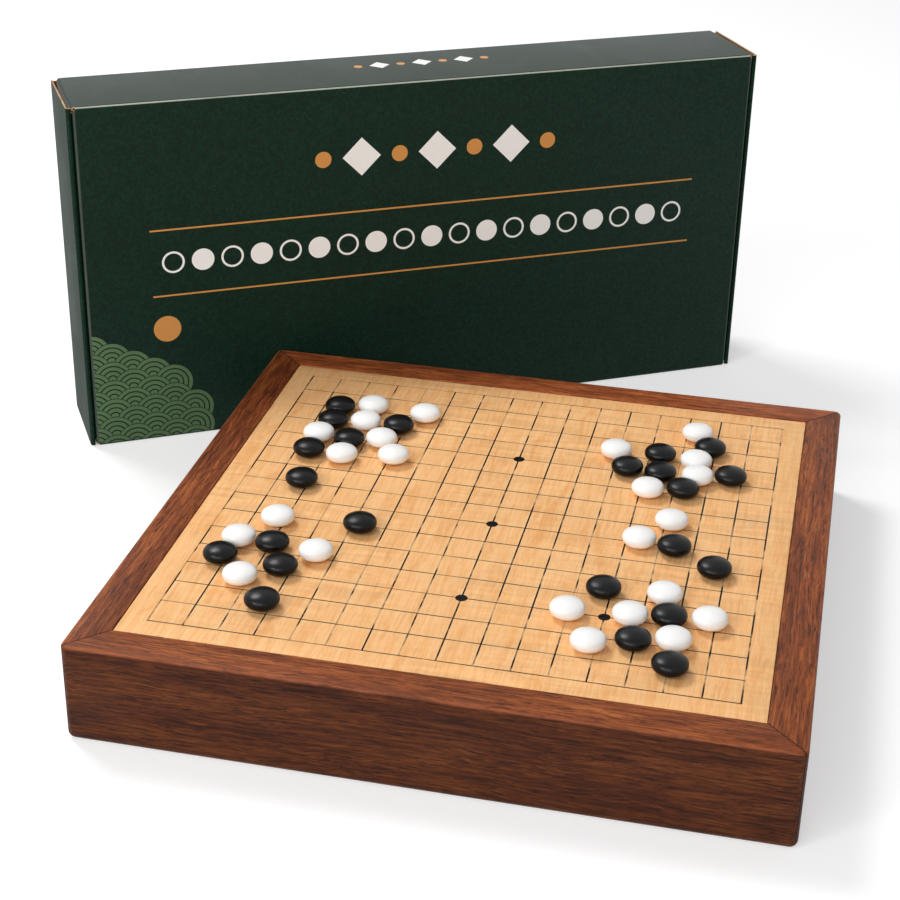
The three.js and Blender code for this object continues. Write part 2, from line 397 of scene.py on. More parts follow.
def makeGrainGroup():
    tree, given, results = startGroup(
        "woodGrain",
        [("Vector", "Vector", None), ("Length", "Float", 12.0), ("Width", "Float", 300.0), ("Shift", "Float", 0.0)],
        ["Tone", "Pores", "Bands", "Fibre"],
    )
    x, y, z = split(tree, given["Vector"])
    sway = noise(tree, scaled(tree, given["Vector"], (9, 26, 26)), 1.0, 2.0)
    ripple = noise(tree, scaled(tree, given["Vector"], (55, 90, 90)), 1.0, 2.0)
    bend = multiply(tree, subtract(tree, sway, 0.5), 0.009)
    bend = add(tree, bend, multiply(tree, subtract(tree, ripple, 0.5), 0.0022))
    along = add(tree, multiply(tree, x, given["Length"]), given["Shift"])
    across = multiply(tree, add(tree, y, bend), given["Width"])
    down = multiply(tree, add(tree, z, bend), given["Width"])
    grain = join(tree, along, across, down)
    tree.links.new(noise(tree, grain, 1.0, 4.0, 0.72), results["Tone"])
    fine = noise(tree, scaled(tree, grain, (2.6, 1.7, 1.7)), 1.0, 2.0, 0.7)
    tree.links.new(remap(tree, fine, 0.54, 0.62), results["Pores"])
    tree.links.new(noise(tree, scaled(tree, grain, (0.35, 0.13, 0.13)), 1.0, 2.0), results["Bands"])
    tree.links.new(noise(tree, scaled(tree, grain, (2.4, 3.2, 3.2)), 1.0, 3.0, 0.75), results["Fibre"])
    return tree


def makeEdgeGroup():
    tree, given, results = startGroup(
        "boxEdges",
        [
            ("Vector", "Vector", None), ("Half", "Vector", (1, 1, 1)),
            ("Width", "Float", 2 * mm), ("Breakup", "Float", 300.0),
        ],
        ["Edge", "PatchyEdge"],
    )
    size = node(tree, "VectorMath", {0: given["Vector"]}, operation="ABSOLUTE").outputs[0]
    gap = node(tree, "VectorMath", {0: given["Half"], 1: size}, operation="SUBTRACT").outputs[0]
    near = [remap(tree, part, given["Width"], 0.0) for part in split(tree, gap)]
    pairs = [multiply(tree, near[i], near[j]) for i, j in ((0, 1), (1, 2), (0, 2))]
    edge = maximum(tree, maximum(tree, pairs[0], pairs[1]), pairs[2])
    tree.links.new(edge, results["Edge"])
    # the edge band broken into patches; the materials use it for wear and for painted highlight and shade
    patch = noise(tree, given["Vector"], given["Breakup"], 4.0, 0.65)
    tree.links.new(multiply(tree, edge, remap(tree, patch, 0.44, 0.62)), results["PatchyEdge"])
    return tree


def makeHandlingGroup():
    tree, given, results = startGroup(
        "handling",
        [("Vector", "Vector", None), ("Scale", "Float", 12.0)],
        ["Mottle", "Smudge", "Dust"],
    )
    mottle = noise(tree, given["Vector"], given["Scale"], 3.0, 0.55, 0.4)
    tree.links.new(mottle, results["Mottle"])
    smudge = noise(tree, scaled(tree, given["Vector"], (31, 17, 23)), 1.0, 4.0, 0.6, 0.8)
    tree.links.new(remap(tree, smudge, 0.45, 0.7), results["Smudge"])
    dust = noise(tree, given["Vector"], 1400.0, 2.0, 0.6)
    tree.links.new(remap(tree, dust, 0.62, 0.78), results["Dust"])
    return tree


grainGroup = makeGrainGroup()
edgeGroup = makeEdgeGroup()
handlingGroup = makeHandlingGroup()
print("shared node groups are ready")


# the board's rails
boardValues = {
    "side": 432, "height": 66, "turn": -31, "rail": 24, "ledge": 10, "seat": 9.3, "ledgeTop": 53.2,
    "topRound": 2, "bottomRound": 4.9, "cornerRound": 5, "mitreGap": 0.3, "innerArris": 0.5,
}
walnutValues = {
    "shades": ((0.32, "#3d1c0a"), (0.43, "#6a341b"), (0.53, "#8a4824"), (0.68, "#b26636")),
    "pore": "#2e140a", "edge": "#a86041", "mitre": "#1c0b05", "paintedSideShade": 0.39,
    "grainLength": 24.0, "grainWidth": 520.0, "edgeWidth": 2.4,
}
railLooks = {  # material, turn of the grain, place in the grain, lightness
    "rail_front": ("walnutFront", 0, 0.0, 1.0),
    "rail_right": ("walnutRight", -90, 41.3, 0.96),
    "rail_back": ("walnutBack", 180, 17.9, 1.3),
    "rail_left": ("walnutLeft", 90, 63.1, 0.95),
}
low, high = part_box("playing_panel")
boardCentre = (low + high) / 2
boardTurn = math.radians(boardValues["turn"])
boardMatrix = Matrix.Translation((boardCentre.x, boardCentre.y, 0)) @ Matrix.Rotation(boardTurn, 4, "Z")


def boardCoordinates(tree, where):
    return turned(tree, moved(tree, where, (-boardCentre.x, -boardCentre.y, 0)), -boardTurn)


def makeWalnut(name, turn, shift, lightness, values):
    material, tree, shader, where = startMaterial(name, Specular_IOR_Level=0.14)
    board = boardCoordinates(tree, where)
    along = turned(tree, board, math.radians(turn))
    grainInputs = {"Vector": along, "Length": values["grainLength"], "Width": values["grainWidth"], "Shift": shift}
    grain = useGroup(tree, grainGroup, grainInputs)
    hand = useGroup(tree, handlingGroup, {"Vector": along, "Scale": 14.0})
    tone = add(tree, multiply(tree, grain["Tone"], 0.7), multiply(tree, grain["Bands"], 0.3))
    base = ramp(tree, tone, values["shades"])
    base = mix(tree, multiply(tree, grain["Pores"], 0.66), base, colour(values["pore"]))
    base = dim(tree, base, remap(tree, grain["Fibre"], 0.3, 0.7, 0.72 * lightness, 1.28 * lightness))
    half = Vector((boardValues["side"] / 2, boardValues["side"] / 2, boardValues["height"] / 2)) * mm
    centred = moved(tree, board, (0, 0, -half.z))
    edgeInputs = {"Vector": centred, "Half": half, "Width": values["edgeWidth"] * mm, "Breakup": 90.0}
    edge = useGroup(tree, edgeGroup, edgeInputs)
    # painted shade: the sides are made darker than the tops
    base = dim(tree, base, remap(
        tree, split(tree, centred)[2], half.z - 0.5 * mm, half.z - 2.2 * mm, 1.0, values["paintedSideShade"]))
    # painted highlight: a lighter edge colour along the arrises, stronger in patches
    glow = add(tree, multiply(tree, edge["Edge"], 0.25), multiply(tree, edge["PatchyEdge"], 0.4))
    base = mix(tree, glow, base, colour(values["edge"]))
    x, y = split(tree, board)[:2]
    mitre = absolute(tree, subtract(tree, absolute(tree, x), absolute(tree, y)))
    base = mix(tree, remap(tree, mitre, 0.9 * mm, 0.4 * mm, 0.0, 0.6), base, colour(values["mitre"]))
    rough = add(tree, remap(tree, grain["Fibre"], 0.2, 0.8, 0.42, 0.58), multiply(tree, hand["Smudge"], -0.07))
    height = subtract(tree, multiply(tree, grain["Fibre"], 0.35), multiply(tree, grain["Pores"], 0.5))
    finishMaterial(tree, shader, base, rough, height, 0.35, 0.12)
    return material


def makeRail(values):
    side, height, rail = values["side"], values["height"], values["rail"]
    half = side / 2
    obj = newCube("rail_model", (side, side, height), (0, 0, height / 2))
    edit(obj)
    pick(obj, "EDGE", lambda e: spanOf(e, 2) > 0.01)
    bevel(values["cornerRound"], 8)
    pick(obj, "EDGE", lambda e: min(v.co.z for v in e.verts) > (height - 0.01) * mm)
    bevel(values["topRound"], 5)
    pick(obj, "EDGE", lambda e: max(v.co.z for v in e.verts) < 0.01 * mm)
    bevel(values["bottomRound"], 7)
    inner = -half + rail
    cutAway((0, inner, 0), (0, 1, 0))

    def isInner(face, low=0, high=height):
        middle = face.calc_center_median()
        return face.normal.y > 0.99 and isNear(middle.y, inner * mm) and low * mm < middle.z < high * mm

    # the ledge that carries the playing panel
    for level in (values["seat"], values["ledgeTop"]):
        pick(obj, "FACE", isInner)
        scoreLine((0, 0, level), (0, 0, 1))
    pick(obj, "FACE", lambda f: isInner(f, values["seat"], values["ledgeTop"]))
    extrude(0, values["ledge"], 0)
    back = half - values["mitreGap"] / math.sqrt(2)
    cutAway((back, -half, 0), (1, 1, 0))
    cutAway((-back, -half, 0), (-1, 1, 0))
    pick(obj, "EDGE", lambda e: all(isNear(v.co.z, height * mm) and isNear(v.co.y, inner * mm) for v in e.verts))
    bevel(values["innerArris"], 3)
    leave()
    return obj


railMaterials = {nodeName: makeWalnut(*look, walnutValues) for nodeName, look in railLooks.items()}
railModel = makeRail(boardValues)
for step, (nodeName, material) in enumerate(railMaterials.items()):
    rail = copyOf(railModel, nodeName + "_finished")
    rail.matrix_world = boardMatrix @ Matrix.Rotation(step * quarterTurn, 4, "Z")
    apply(rail)
    smooth(rail)
    rail.data.materials.append(material)
    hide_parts(nodeName)
    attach(rail, "board")
bpy.data.objects.remove(railModel)
print("rails are made")


# the playing panel and the base panel
panelValues = {
    "side": 383.4, "thickness": 12, "top": 65.5, "arris": 0.4, "columns": 17, "rows": 16,
    "columnSpacing": 22, "rowSpacing": 23.5, "lineWidth": 1.1, "lineDepth": 0.25, "starRadius": 3.85,
    "stars": ((8, 3), (8, 7), (8, 11), (12, 3)),
}
mapleValues = {
    "shades": ((0.26, "#edae6d"), (0.42, "#f3b87b"), (0.56, "#f6c187"), (0.76, "#f9c990")),
    "patch": "#e59d58", "fleck": "#c07a3c", "halo": "#ffe2b0", "wearAndPaintedLight": "#9a6232",
    "row": "#2a2416", "column": "#060403", "star": "#080706",
    "grainLength": 19.0, "grainWidth": 400.0, "edgeWidth": 1.6,
}
plywoodValues = {
    "shades": ((0.3, "#9c7444"), (0.5, "#b98d5a"), (0.7, "#cda673")), "pore": "#6d4a28", "smudge": "#7d6142",
    "grainLength": 7.0, "grainWidth": 160.0,
}


def makeLineGroup(values):
    tree, given, results = startGroup("playLines", [("Vector", "Vector", None)], ["Column", "Row", "Star", "Halo"])
    x, y = split(tree, given["Vector"])[:2]
    halfLine = values["lineWidth"] / 2 * mm
    axes = (("columns", "columnSpacing", x), ("rows", "rowSpacing", y))
    reach = {}
    for name, spacing, along in axes:
        half = (values[name] - 1) * values[spacing] / 2 * mm + halfLine
        reach[name] = remap(tree, absolute(tree, along), half + 0.05 * mm, half - 0.05 * mm)
    inside = multiply(tree, reach["columns"], reach["rows"])
    masks, halos = [], []
    for name, spacing, along in axes:
        pitch = values[spacing] * mm
        count = add(tree, calc(tree, "DIVIDE", along, pitch), (values[name] - 1) / 2)
        off = multiply(tree, absolute(tree, subtract(tree, count, calc(tree, "ROUND", count))), pitch)
        line = remap(tree, off, halfLine + 0.06 * mm, halfLine - 0.06 * mm)
        masks.append(multiply(tree, line, inside))
        # the pale band beside each line is a painted highlight, as if the line's edges caught the light
        halo = remap(tree, off, halfLine + 1.1 * mm, halfLine)
        halos.append(multiply(tree, halo, inside))
    # the lines are worn in places, the columns more than the rows
    lengthways = noise(tree, scaled(tree, given["Vector"], (70, 34, 1)), 1.0, 3.0, 0.6)
    crossways = noise(tree, scaled(tree, given["Vector"], (22, 60, 1), (3, 7, 0)), 1.0, 3.0, 0.6)
    tree.links.new(multiply(tree, masks[0], remap(tree, lengthways, 0.39, 0.52, 0.25, 1.0)), results["Column"])
    tree.links.new(multiply(tree, masks[1], remap(tree, crossways, 0.36, 0.56, 0.6, 0.97)), results["Row"])
    tree.links.new(maximum(tree, halos[0], halos[1]), results["Halo"])
    nearest = None
    for column, row in values["stars"]:
        dx = subtract(tree, x, (column - (values["columns"] - 1) / 2) * values["columnSpacing"] * mm)
        dy = subtract(tree, y, (row - (values["rows"] - 1) / 2) * values["rowSpacing"] * mm)
        far = lengthOf(tree, join(tree, dx, dy))
        nearest = far if nearest is None else calc(tree, "MINIMUM", nearest, far)
    radius = values["starRadius"] * mm
    tree.links.new(remap(tree, nearest, radius + 0.1 * mm, radius - 0.1 * mm), results["Star"])
    return tree


def makeMaple(values, lineGroup):
    material, tree, shader, where = startMaterial("maple", Specular_IOR_Level=0.12)
    board = boardCoordinates(tree, where)
    along = turned(tree, board, -quarterTurn)
    grainInputs = {"Vector": along, "Length": values["grainLength"], "Width": values["grainWidth"], "Shift": 3.7}
    grain = useGroup(tree, grainGroup, grainInputs)
    hand = useGroup(tree, handlingGroup, {"Vector": board, "Scale": 9.0})
    base = ramp(tree, grain["Tone"], values["shades"])
    patches = noise(tree, scaled(tree, along, (26, 95, 95), (2, 5, 0)), 1.0, 3.0, 0.6, 0.5)
    base = mix(tree, multiply(tree, remap(tree, patches, 0.5, 0.7), 0.5), base, colour(values["patch"]))
    curl = noise(tree, scaled(tree, board, (15, 105, 1)), 1.0, 3.0, 0.5, 1.4)
    curlStrength = remap(tree, noise(tree, board, 13.0, 2.0), 0.42, 0.6, 0.25, 1.0)
    curlTone = multiply(tree, remap(tree, curl, 0.3, 0.7, -0.1, 0.06), curlStrength)
    fibre = remap(tree, grain["Fibre"], 0.25, 0.75, -0.016, 0.016)
    base = dim(tree, base, add(tree, add(tree, curlTone, 1.0), fibre))
    base = mix(tree, multiply(tree, grain["Pores"], 0.15), base, colour(values["fleck"]))
    lines = useGroup(tree, lineGroup, {"Vector": board})
    # painted highlight: the pale band beside the lines
    base = mix(tree, multiply(tree, lines["Halo"], 0.22), base, colour(values["halo"]))
    for mask in ("Row", "Column", "Star"):
        base = mix(tree, lines[mask], base, colour(values[mask.lower()]))
    halfSide, halfThickness = panelValues["side"] / 2, panelValues["thickness"] / 2
    half = Vector((halfSide, halfSide, halfThickness)) * mm
    centred = moved(tree, board, (0, 0, -(panelValues["top"] - halfThickness) * mm))
    edgeInputs = {"Vector": centred, "Half": half, "Width": values["edgeWidth"] * mm, "Breakup": 120.0}
    edge = useGroup(tree, edgeGroup, edgeInputs)
    # darker along the panel's edges in patches: wear, together with painted shade where the panel meets the rails
    base = mix(tree, multiply(tree, edge["PatchyEdge"], 0.3), base, colour(values["wearAndPaintedLight"]))
    rough = add(tree, remap(tree, grain["Fibre"], 0.2, 0.8, 0.4, 0.52), multiply(tree, hand["Smudge"], -0.06))
    height = subtract(tree, multiply(tree, grain["Fibre"], 0.3), multiply(tree, grain["Pores"], 0.3))
    finishMaterial(tree, shader, base, rough, height, 0.25, 0.08)
    return material


def makePlywood(values):
    material, tree, shader, where = startMaterial("plywood", Specular_IOR_Level=0.25)
    board = boardCoordinates(tree, where)
    grainInputs = {"Vector": board, "Length": values["grainLength"], "Width": values["grainWidth"], "Shift": 11.0}
    grain = useGroup(tree, grainGroup, grainInputs)
    hand = useGroup(tree, handlingGroup, {"Vector": board, "Scale": 7.0})
    base = ramp(tree, grain["Tone"], values["shades"])
    base = mix(tree, multiply(tree, grain["Pores"], 0.35), base, colour(values["pore"]))
    base = mix(tree, multiply(tree, hand["Smudge"], 0.12), base, colour(values["smudge"]))
    rough = remap(tree, grain["Fibre"], 0.2, 0.8, 0.62, 0.8)
    finishMaterial(tree, shader, base, rough, grain["Fibre"], 0.3, 0.15)
    return material


def makePanel(values):
    side, thickness, top = values["side"], values["thickness"], values["top"]
    obj = newCube("playing_panel_finished", (side, side, thickness), (0, 0, top - thickness / 2))
    edit(obj)
    pick(obj, "EDGE", lambda e: min(v.co.z for v in e.verts) > (top - 0.01) * mm)
    bevel(values["arris"], 3)
    halfLine = values["lineWidth"] / 2
    columns = [(i - (values["columns"] - 1) / 2) * values["columnSpacing"] for i in range(values["columns"])]
    rows = [(i - (values["rows"] - 1) / 2) * values["rowSpacing"] for i in range(values["rows"])]

    def isTop(face):
        return face.normal.z > 0.99

    for levels, normal in ((columns, (1, 0, 0)), (rows, (0, 1, 0))):
        for level in levels:
            for edge in (-halfLine, halfLine):
                pick(obj, "FACE", isTop)
                scoreLine([(level + edge) * n for n in normal], normal)
    reachX, reachY = columns[-1] + halfLine, rows[-1] + halfLine

    def onLine(face):
        x, y = face.calc_center_median().xy / mm
        if not isTop(face) or abs(x) > reachX or abs(y) > reachY:
            return False
        return min(abs(x - c) for c in columns) < halfLine or min(abs(y - r) for r in rows) < halfLine

    pick(obj, "FACE", onLine)
    extrude(0, 0, -values["lineDepth"])
    leave()
    obj.matrix_world = boardMatrix
    apply(obj)
    smooth(obj)
    return obj


panel = makePanel(panelValues)
panel.data.materials.append(makeMaple(mapleValues, makeLineGroup(panelValues)))
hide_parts("playing_panel")
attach(panel, "board")
plywood = makePlywood(plywoodValues)
for slot in cadNodes["base_panel"].material_slots:
    slot.material = plywood
print("panels are made")


# stones
stoneValues = {"across": 22, "thickness": 11.4, "sides": 48, "rings": 24, "fullness": 0.04, "turnSeed": 11}
stoneLooks = {
    "black": {
        "shades": ("#030304", "#040405", "#060607"), "cloud": "#0c0c0e", "cloudShare": 0.3,
        "roughness": 0.3, "specular": 0.2,
    },
    "white": {
        "shades": ("#f7f6f4", "#faf9f7", "#fcfbfa"), "cloud": "#efece7", "cloudShare": 0.15,
        "roughness": 0.3, "specular": 0.3,
    },
}


def makeStoneMaterial(name, look):
    material, tree, shader, where = startMaterial(name, Specular_IOR_Level=look["specular"])
    hand = useGroup(tree, handlingGroup, {"Vector": where, "Scale": 60.0})
    base = ramp(tree, noise(tree, where, 23.0, 1.0), tuple(zip((0.35, 0.5, 0.65), look["shades"])))
    cloud = noise(tree, where, 190.0, 4.0, 0.6, 1.2)
    clouded = multiply(tree, remap(tree, cloud, 0.45, 0.75), look["cloudShare"])
    base = mix(tree, clouded, base, colour(look["cloud"]))
    mottled = remap(tree, hand["Mottle"], 0.3, 0.7, look["roughness"] - 0.02, look["roughness"] + 0.03)
    rough = add(tree, mottled, multiply(tree, hand["Smudge"], 0.02))
    height = add(tree, multiply(tree, cloud, 0.5), multiply(tree, hand["Dust"], 0.2))
    finishMaterial(tree, shader, base, rough, height, 0.12, 0.05)
    return material


def makeStone(values):
    bpy.ops.object.select_all(action="DESELECT")
    bpy.ops.mesh.primitive_uv_sphere_add(
        segments=values["sides"], ring_count=values["rings"], radius=values["across"] / 2 * mm)
    obj = bpy.context.object
    edit(obj)
    bpy.ops.mesh.select_all(action="SELECT")
    bpy.ops.transform.resize(value=(1, 1, values["thickness"] / values["across"]))
    # the shoulders are a little fuller than an ellipsoid's
    half = values["thickness"] / 2 * mm
    for ring in range(1, values["rings"] // 2):
        turn = math.pi * ring / values["rings"]
        height = half * math.sin(turn)
        swell = 1 + values["fullness"] * math.sin(2 * turn) ** 2
        pick(obj, "VERT", lambda v: abs(abs(v.co.z) - height) < 1e-6)
        bpy.ops.transform.resize(value=(swell, swell, 1))
    leave()
    return obj


stoneMaterials = {shade: makeStoneMaterial(shade + "Stone", look) for shade, look in stoneLooks.items()}
random.seed(stoneValues["turnSeed"])
stoneModel = makeStone(stoneValues)
for nodeName in sorted(n for n in cadNodes if n.startswith("stone_")):
    low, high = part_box(nodeName)
    stone = copyOf(stoneModel, nodeName + "_finished")
    stone.location = (low + high) / 2
    stone.rotation_euler = (0, 0, random.uniform(0, 2 * math.pi))
    apply(stone)
    smooth(stone, 60)
    shade = nodeName.split("_")[1]
    stone.data.materials.append(stoneMaterials[shade])
    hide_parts(nodeName)
    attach(stone, nodeName + "_body")
bpy.data.objects.remove(stoneModel)
print("stones are made")


# carton
cartonValues = {
    "width": 544, "depth": 78, "height": 270, "card": 1.2, "fold": 2.4, "gap": 0.3, "endSpace": 3,
    "edgeClearance": 0.8, "tuckDepth": 17, "tuckClearance": 2.5, "tuckInset": 5, "tuckCorner": 9,
    "dustTaper": 7, "dustCorner": 5, "foldSteps": 8, "hem": 1.7, "bead": 3.7, "beadFold": 1.3, "beadFront": 38.2,
}
printValues = {
    "ink": "#082418", "wearAndPaintedLight": "#c3c6b6", "dust": "#7d8a80", "cream": "#fdfbf7", "tan": "#d8954f", "sage": "#5b7650",
    "rules": {"levels": (171.5, 119), "half": 220, "width": 1.3, "middle": 2.5},
    "beads": {"middle": (2.5, 145.5), "pitch": 22.6, "radius": 8.6, "count": 19},
    "lozenges": {"middle": (6, 215), "pitch": 30, "radius": 15, "count": 7},
    "topLozenges": {"middle": (8, 9), "pitch": 17, "radius": 8, "count": 7},
    "fans": {"corner": -267.5, "radius": 15.5, "reach": 82},
    "disc": {"middle": (-208, 92), "radius": 10.5},
}
low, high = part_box("carton_sleeve")
cartonCentre = (low + high) / 2


def makeWaveGroup():
    tree, given, results = startGroup(
        "waveRow",
        [
            ("Vector", "Vector", None), ("Radius", "Float", 15 * mm),
            ("Row", "Float", 0.0), ("Reach", "Float", 90 * mm),
        ],
        ["Distance", "Cover"],
    )
    u, v = split(tree, given["Vector"])[:2]
    radius = given["Radius"]
    shift = multiply(tree, calc(tree, "PINGPONG", given["Row"], 1.0), radius)
    wide = multiply(tree, radius, 2.0)
    count = calc(tree, "ROUND", calc(tree, "DIVIDE", subtract(tree, u, shift), wide))
    middle = add(tree, multiply(tree, count, wide), shift)
    level = multiply(tree, given["Row"], multiply(tree, radius, 0.5))
    away = lengthOf(tree, join(tree, subtract(tree, u, middle), subtract(tree, v, level)))
    fromCorner = lengthOf(tree, join(tree, middle, level))
    share = calc(tree, "DIVIDE", away, radius)
    tree.links.new(share, results["Distance"])
    inFan = calc(tree, "LESS_THAN", share, 1.0)
    inReach = calc(tree, "LESS_THAN", fromCorner, given["Reach"])
    tree.links.new(multiply(tree, inFan, inReach), results["Cover"])
    return tree


def makeFanGroup(waveGroup):
    tree, given, results = startGroup(
        "waveFans",
        [("Vector", "Vector", None), ("Radius", "Float", 15 * mm), ("Reach", "Float", 90 * mm)],
        ["Fans"],
    )
    v = split(tree, given["Vector"])[1]
    row = calc(tree, "FLOOR", calc(tree, "DIVIDE", v, multiply(tree, given["Radius"], 0.5)))
    share, covered = None, None
    for step in (1, 0, -1):  # the lowest row lies in front, so it is asked last
        values = {name: given[name] for name in ("Vector", "Radius", "Reach")}
        fan = useGroup(tree, waveGroup, {**values, "Row": add(tree, row, step)})
        if share is None:
            share, covered = fan["Distance"], fan["Cover"]
        else:
            share = choose(tree, fan["Cover"], share, fan["Distance"])
            covered = maximum(tree, covered, fan["Cover"])
    rings = calc(tree, "FRACT", multiply(tree, share, 4.0))
    band = remap(tree, absolute(tree, subtract(tree, rings, 0.5)), 0.39, 0.33)
    tree.links.new(multiply(tree, band, covered), results["Fans"])
    return tree


def makeBeadGroup():
    tree, given, results = startGroup(
        "beadRow",
        [
            ("Vector", "Vector", None), ("Pitch", "Float", 23 * mm), ("Radius", "Float", 9 * mm),
            ("Count", "Float", 19.0), ("Lozenge", "Float", 0.0),
        ],
        ["First", "Second"],
    )
    u, v = split(tree, given["Vector"])[:2]
    count = calc(tree, "DIVIDE", u, given["Pitch"])
    index = calc(tree, "ROUND", count)
    du = multiply(tree, subtract(tree, count, index), given["Pitch"])
    within = calc(tree, "LESS_THAN", absolute(tree, count), multiply(tree, given["Count"], 0.5))
    circle = lengthOf(tree, join(tree, du, v))
    lozenge = add(tree, absolute(tree, du), absolute(tree, v))
    odd = calc(tree, "PINGPONG", index, 1.0)
    even = subtract(tree, 1.0, odd)
    gap = subtract(tree, choose(tree, given["Lozenge"], circle, lozenge), given["Radius"])
    filled = remap(tree, gap, 0.12 * mm, -0.12 * mm)
    ring = remap(tree, absolute(tree, add(tree, gap, 0.8 * mm)), 0.95 * mm, 0.7 * mm)
    # between two lozenges lies a small disc, between two filled discs an open one
    small = remap(tree, subtract(tree, circle, multiply(tree, given["Radius"], 0.42)), 0.12 * mm, -0.12 * mm)
    second = choose(tree, given["Lozenge"], ring, small)
    tree.links.new(multiply(tree, multiply(tree, filled, even), within), results["First"])
    tree.links.new(multiply(tree, multiply(tree, second, odd), within), results["Second"])
    return tree


def makeCardGroup():
    tree, given, results = startGroup("printedCard", [("Vector", "Vector", None)], ["Tone", "Height"])
    fibre = noise(tree, scaled(tree, given["Vector"], (620, 620, 620)), 1.0, 3.0, 0.75)
    cloud = noise(tree, given["Vector"], 16.0, 3.0, 0.5, 0.3)
    tone = add(tree, remap(tree, fibre, 0.32, 0.68, 0.72, 1.28), remap(tree, cloud, 0.3, 0.7, -0.05, 0.05))
    tree.links.new(tone, results["Tone"])
    tree.links.new(fibre, results["Height"])
    return tree


fanGroup = makeFanGroup(makeWaveGroup())
beadGroup = makeBeadGroup()
cardGroup = makeCardGroup()


def ruleMask(tree, u, v, rules):
    half, halfWidth = rules["half"], rules["width"] / 2
    fromMiddle = absolute(tree, subtract(tree, u, rules["middle"] * mm))
    along = remap(tree, fromMiddle, (half + 0.1) * mm, (half - 0.1) * mm)
    masks = []
    for level in rules["levels"]:
        off = absolute(tree, subtract(tree, v, level * mm))
        masks.append(remap(tree, off, (halfWidth + 0.1) * mm, (halfWidth - 0.1) * mm))
    return multiply(tree, maximum(tree, *masks), along)


def offsetFrom(tree, u, v, middle):
    return join(tree, subtract(tree, u, middle[0] * mm), subtract(tree, v, middle[1] * mm))


def beadMasks(tree, u, v, row, lozenge):
    return useGroup(tree, beadGroup, {
        "Vector": offsetFrom(tree, u, v, row["middle"]), "Pitch": row["pitch"] * mm, "Radius": row["radius"] * mm,
        "Count": row["count"], "Lozenge": lozenge,
    })


def makeCard(name, printed, values, sheen=0.26, gloss=0.13):
    material, tree, shader, where = startMaterial(
        name, Specular_IOR_Level=gloss, Sheen_Weight=sheen, Sheen_Roughness=0.4)
    centred = moved(tree, where, (-cartonCentre.x, -cartonCentre.y, 0))
    card = useGroup(tree, cardGroup, {"Vector": centred})
    hand = useGroup(tree, handlingGroup, {"Vector": centred, "Scale": 8.0})
    x, y, z = split(tree, centred)
    speckle = remap(tree, noise(tree, centred, 400.0, 2.0, 0.6), 0.35, 0.65, 0.7, 1.3)
    base = dim(tree, colour(values["ink"]), multiply(tree, card["Tone"], speckle))
    rough = add(tree, remap(tree, hand["Mottle"], 0.3, 0.7, 0.5, 0.58), multiply(tree, hand["Smudge"], -0.05))
    if printed == "front":
        tan = ruleMask(tree, x, z, values["rules"])
        beads = beadMasks(tree, x, z, values["beads"], 0.0)
        lozenges = beadMasks(tree, x, z, values["lozenges"], 1.0)
        cream = maximum(tree, maximum(tree, beads["First"], beads["Second"]), lozenges["First"])
        tan = maximum(tree, tan, lozenges["Second"])
        fans = values["fans"]
        corner = join(tree, subtract(tree, x, fans["corner"] * mm), z)
        fanInputs = {"Vector": corner, "Radius": fans["radius"] * mm, "Reach": fans["reach"] * mm}
        sage = dim(tree, colour(values["sage"]), remap(tree, hand["Mottle"], 0.35, 0.65, 0.85, 1.1))
        base = mix(tree, useGroup(tree, fanGroup, fanInputs)["Fans"], base, sage)
        away = lengthOf(tree, offsetFrom(tree, x, z, values["disc"]["middle"]))
        radius = values["disc"]["radius"]
        tan = maximum(tree, tan, remap(tree, away, (radius + 0.1) * mm, (radius - 0.1) * mm))
    elif printed == "top":
        lozenges = beadMasks(tree, x, y, values["topLozenges"], 1.0)
        cream, tan = lozenges["First"], lozenges["Second"]
    if printed:
        base = mix(tree, multiply(tree, tan, 0.96), base, colour(values["tan"]))
        base = mix(tree, multiply(tree, cream, 0.96), base, colour(values["cream"]))
    half = Vector((cartonValues["width"], cartonValues["depth"], cartonValues["height"])) * mm / 2
    middle = moved(tree, centred, (0, 0, -half.z))
    edge = useGroup(tree, edgeGroup, {"Vector": middle, "Half": half, "Width": 1.7 * mm, "Breakup": 170.0})
    # the edges are made lighter in colour: rubbed wear together with painted highlight
    wearAndPaintedHighlight = add(tree, multiply(tree, edge["Edge"], 0.16), multiply(tree, edge["PatchyEdge"], 0.34))
    # painted highlight: the front panel's turned-in ends are made lighter where they would catch the light
    inwards = subtract(tree, half.x, absolute(tree, x))
    atHem = multiply(tree, remap(tree, inwards, 6.9 * mm, 6.1 * mm), remap(tree, inwards, 4.2 * mm, 4.5 * mm))
    atHem = multiply(tree, atHem, remap(tree, y, 1.9 * mm - half.y, 1.4 * mm - half.y))
    wearAndPaintedHighlight = add(tree, wearAndPaintedHighlight, multiply(tree, atHem, remap(tree, hand["Mottle"], 0.35, 0.65, 0.05, 0.12)))
    base = mix(tree, wearAndPaintedHighlight, base, colour(values["wearAndPaintedLight"]))
    # painted highlight along the long fold at the top front, where the print has also cracked
    offFold = add(tree, add(tree, y, half.y), subtract(tree, half.z * 2, z))
    foldHighlightAndCrack = remap(tree, offFold, 1.58 * mm, 1.44 * mm, 0.0, 0.85)
    foldHighlightAndCrack = multiply(tree, foldHighlightAndCrack, remap(tree, hand["Mottle"], 0.3, 0.6, 0.55, 1.0))
    base = mix(tree, foldHighlightAndCrack, base, colour(values["wearAndPaintedLight"]))
    base = mix(tree, multiply(tree, hand["Dust"], 0.05), base, colour(values["dust"]))
    finishMaterial(tree, shader, base, rough, card["Height"], 0.12, 0.1)
    return material


